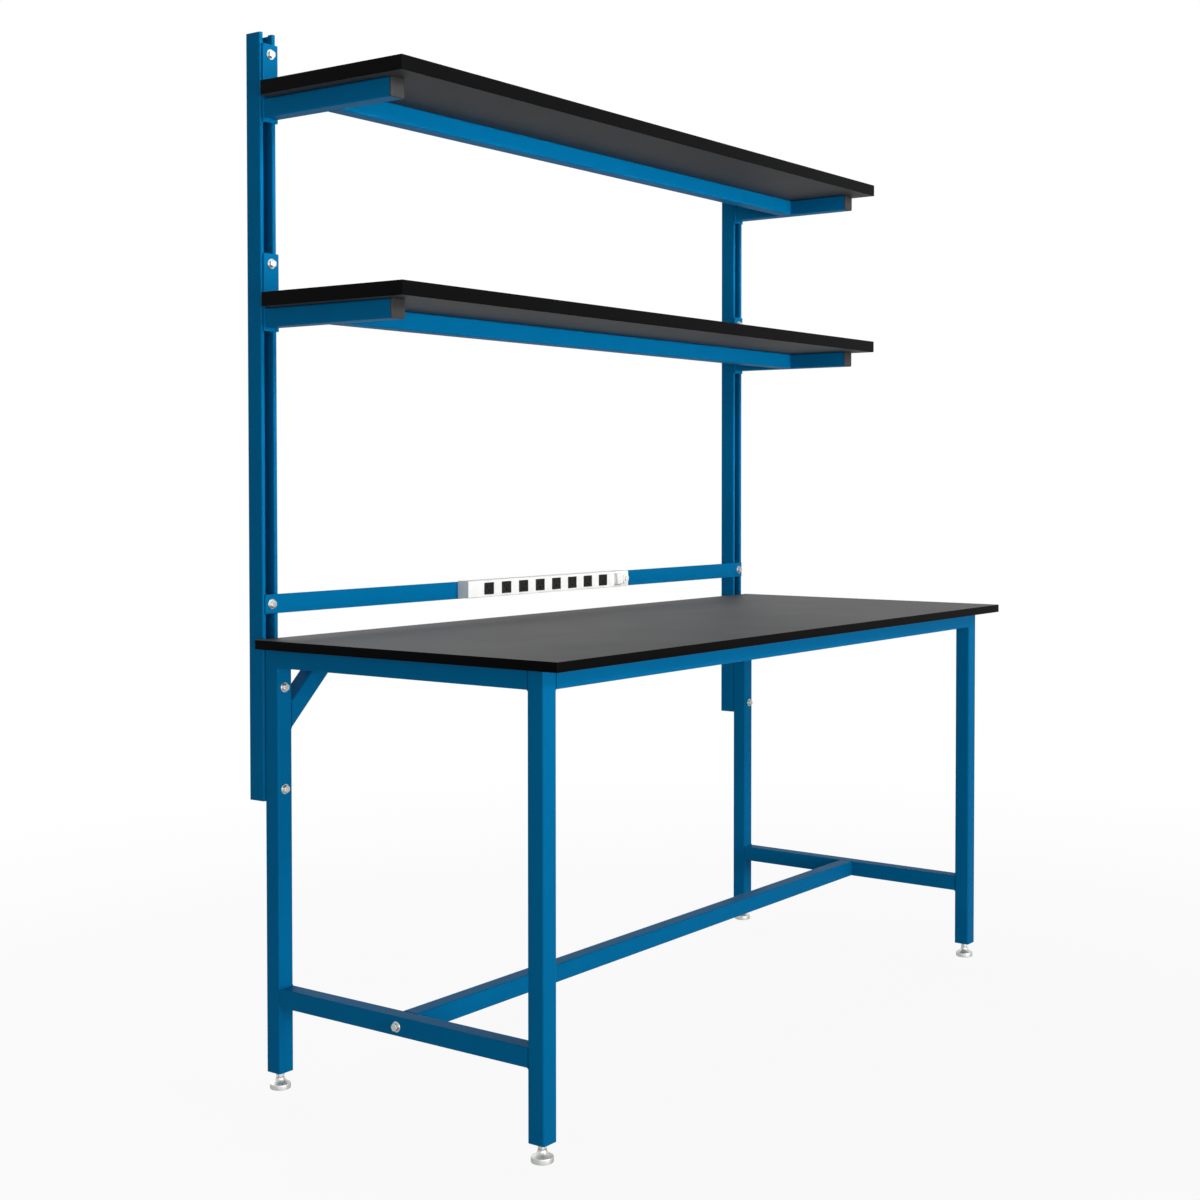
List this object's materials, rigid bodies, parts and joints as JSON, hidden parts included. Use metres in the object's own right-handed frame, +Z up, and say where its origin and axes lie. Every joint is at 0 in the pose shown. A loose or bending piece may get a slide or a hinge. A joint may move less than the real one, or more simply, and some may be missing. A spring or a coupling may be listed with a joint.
{
  "type": "lab bench with reagent shelf",
  "caption": "Blue square-tube lab bench with a black worktop, slotted rear uprights, height-adjustable cantilever reagent shelves, a power strip on a rail and levelling feet.",
  "frame": {"origin": "on the floor, at the middle of the overall length and depth", "axes": "+X along the bench to the right as seen from the front, front towards -Y, +Z up"},
  "size_m": [1.829, 0.8092, 2.119],
  "materials": {
    "blue_powder_coat": "satin blue powder coat on steel tube",
    "black_laminate": "satin black laminate on board, black edges",
    "zinc_fastener": "bright zinc plated steel",
    "zinc_foot": "bright zinc plated steel",
    "arm_plug": "moulded dark grey plastic",
    "white_housing": "white painted aluminium extrusion",
    "white_plastic": "moulded white plastic",
    "black_plastic": "moulded black plastic"
  },
  "bodies": {
    "bench": {"leg_front_left": "blue_powder_coat", "leg_front_right": "blue_powder_coat", "leg_rear_left": "blue_powder_coat", "leg_rear_right": "blue_powder_coat", "side_top_rail_left": "blue_powder_coat", "side_top_rail_right": "blue_powder_coat", "side_lower_rail_left": "blue_powder_coat", "side_lower_rail_right": "blue_powder_coat", "front_top_rail": "blue_powder_coat", "rear_top_rail": "blue_powder_coat", "centre_stretcher": "blue_powder_coat", "worktop": "black_laminate", "corner_brace_left": "blue_powder_coat", "corner_brace_right": "blue_powder_coat", "worktop_screw_front_left": "zinc_fastener", "worktop_screw_front_right": "zinc_fastener", "worktop_screw_rear_left": "zinc_fastener", "worktop_screw_rear_right": "zinc_fastener", "upright_left": "blue_powder_coat", "upright_right": "blue_powder_coat", "upright_bolt_lower_left": "zinc_fastener", "upright_bolt_lower_right": "zinc_fastener", "upright_bolt_upper_left": "zinc_fastener", "upright_bolt_upper_right": "zinc_fastener", "stretcher_bolt_left": "zinc_fastener", "stretcher_bolt_right": "zinc_fastener"},
    "upper_shelf": {"upper_shelf_panel": "black_laminate", "upper_shelf_crossbar": "blue_powder_coat", "upper_shelf_bracket_left": "blue_powder_coat", "upper_shelf_bracket_right": "blue_powder_coat", "upper_shelf_plug_left": "arm_plug", "upper_shelf_plug_right": "arm_plug", "upper_shelf_bolt_left": "zinc_fastener", "upper_shelf_bolt_right": "zinc_fastener"},
    "lower_shelf": {"lower_shelf_panel": "black_laminate", "lower_shelf_crossbar": "blue_powder_coat", "lower_shelf_bracket_left": "blue_powder_coat", "lower_shelf_bracket_right": "blue_powder_coat", "lower_shelf_plug_left": "arm_plug", "lower_shelf_plug_right": "arm_plug", "lower_shelf_bolt_left": "zinc_fastener", "lower_shelf_bolt_right": "zinc_fastener"},
    "power_strip": {"power_rail": "blue_powder_coat", "power_rail_bolt_left": "zinc_fastener", "power_rail_bolt_right": "zinc_fastener", "strip_housing": "white_housing", "outlet_bar": "black_plastic", "strip_end_cap_left": "white_plastic", "strip_end_cap_right": "white_plastic", "cord_inlet": "black_plastic"},
    "rocker": {"rocker_switch": "white_plastic"},
    "reset": {"reset_button": "white_plastic"},
    "foot_front_left": {"foot_pad_front_left": "zinc_foot"},
    "stem_front_left": {"foot_stem_front_left": "zinc_foot"},
    "foot_front_right": {"foot_pad_front_right": "zinc_foot"},
    "stem_front_right": {"foot_stem_front_right": "zinc_foot"},
    "foot_rear_left": {"foot_pad_rear_left": "zinc_foot"},
    "stem_rear_left": {"foot_stem_rear_left": "zinc_foot"},
    "foot_rear_right": {"foot_pad_rear_right": "zinc_foot"},
    "stem_rear_right": {"foot_stem_rear_right": "zinc_foot"}
  },
  "joints": [
    {"name": "upper_shelf_height", "type": "slide", "parent": "bench", "child": "upper_shelf", "axis": [0, 0, 1], "range_m": [-0.15, 0.02]},
    {"name": "lower_shelf_height", "type": "slide", "parent": "bench", "child": "lower_shelf", "axis": [0, 0, 1], "range_m": [-0.25, 0.09]},
    {"name": "power_rail_height", "type": "slide", "parent": "bench", "child": "power_strip", "axis": [0, 0, 1], "range_m": [-0.04, 0.25]},
    {"name": "rocker_tilt", "type": "hinge", "parent": "power_strip", "child": "rocker", "pos_m": [0.2555, 0.3311, 0.9805], "axis": [1, 0, 0], "range_deg": [0, 10]},
    {"name": "reset_press", "type": "slide", "parent": "power_strip", "child": "reset", "axis": [0, 1, 0], "range_m": [0, 0.0025], "stiffness_N_per_m": 400, "springref_m": -0.002},
    {"name": "foot_travel_front_left", "type": "slide", "parent": "bench", "child": "foot_front_left", "axis": [0, 0, 1], "range_m": [-0.025, 0]},
    {"name": "stem_turn_front_left", "type": "hinge", "parent": "foot_front_left", "child": "stem_front_left", "pos_m": [-0.8695, -0.3336, 0.03], "axis": [0, 0, 1], "range_deg": [-5150, 5]},
    {"name": "foot_travel_front_right", "type": "slide", "parent": "bench", "child": "foot_front_right", "axis": [0, 0, 1], "range_m": [-0.025, 0]},
    {"name": "stem_turn_front_right", "type": "hinge", "parent": "foot_front_right", "child": "stem_front_right", "pos_m": [0.8695, -0.3336, 0.03], "axis": [0, 0, 1], "range_deg": [-5150, 5]},
    {"name": "foot_travel_rear_left", "type": "slide", "parent": "bench", "child": "foot_rear_left", "axis": [0, 0, 1], "range_m": [-0.025, 0]},
    {"name": "stem_turn_rear_left", "type": "hinge", "parent": "foot_rear_left", "child": "stem_rear_left", "pos_m": [-0.8695, 0.3444, 0.03], "axis": [0, 0, 1], "range_deg": [-5150, 5]},
    {"name": "foot_travel_rear_right", "type": "slide", "parent": "bench", "child": "foot_rear_right", "axis": [0, 0, 1], "range_m": [-0.025, 0]},
    {"name": "stem_turn_rear_right", "type": "hinge", "parent": "foot_rear_right", "child": "stem_rear_right", "pos_m": [0.8695, 0.3444, 0.03], "axis": [0, 0, 1], "range_deg": [-5150, 5]}
  ],
  "couplings": [
    {"joint": "stem_turn_front_left", "follows": "foot_travel_front_left", "rad_per_m": 3590.4},
    {"joint": "stem_turn_front_right", "follows": "foot_travel_front_right", "rad_per_m": 3590.4},
    {"joint": "stem_turn_rear_left", "follows": "foot_travel_rear_left", "rad_per_m": 3590.4},
    {"joint": "stem_turn_rear_right", "follows": "foot_travel_rear_right", "rad_per_m": 3590.4}
  ]
}
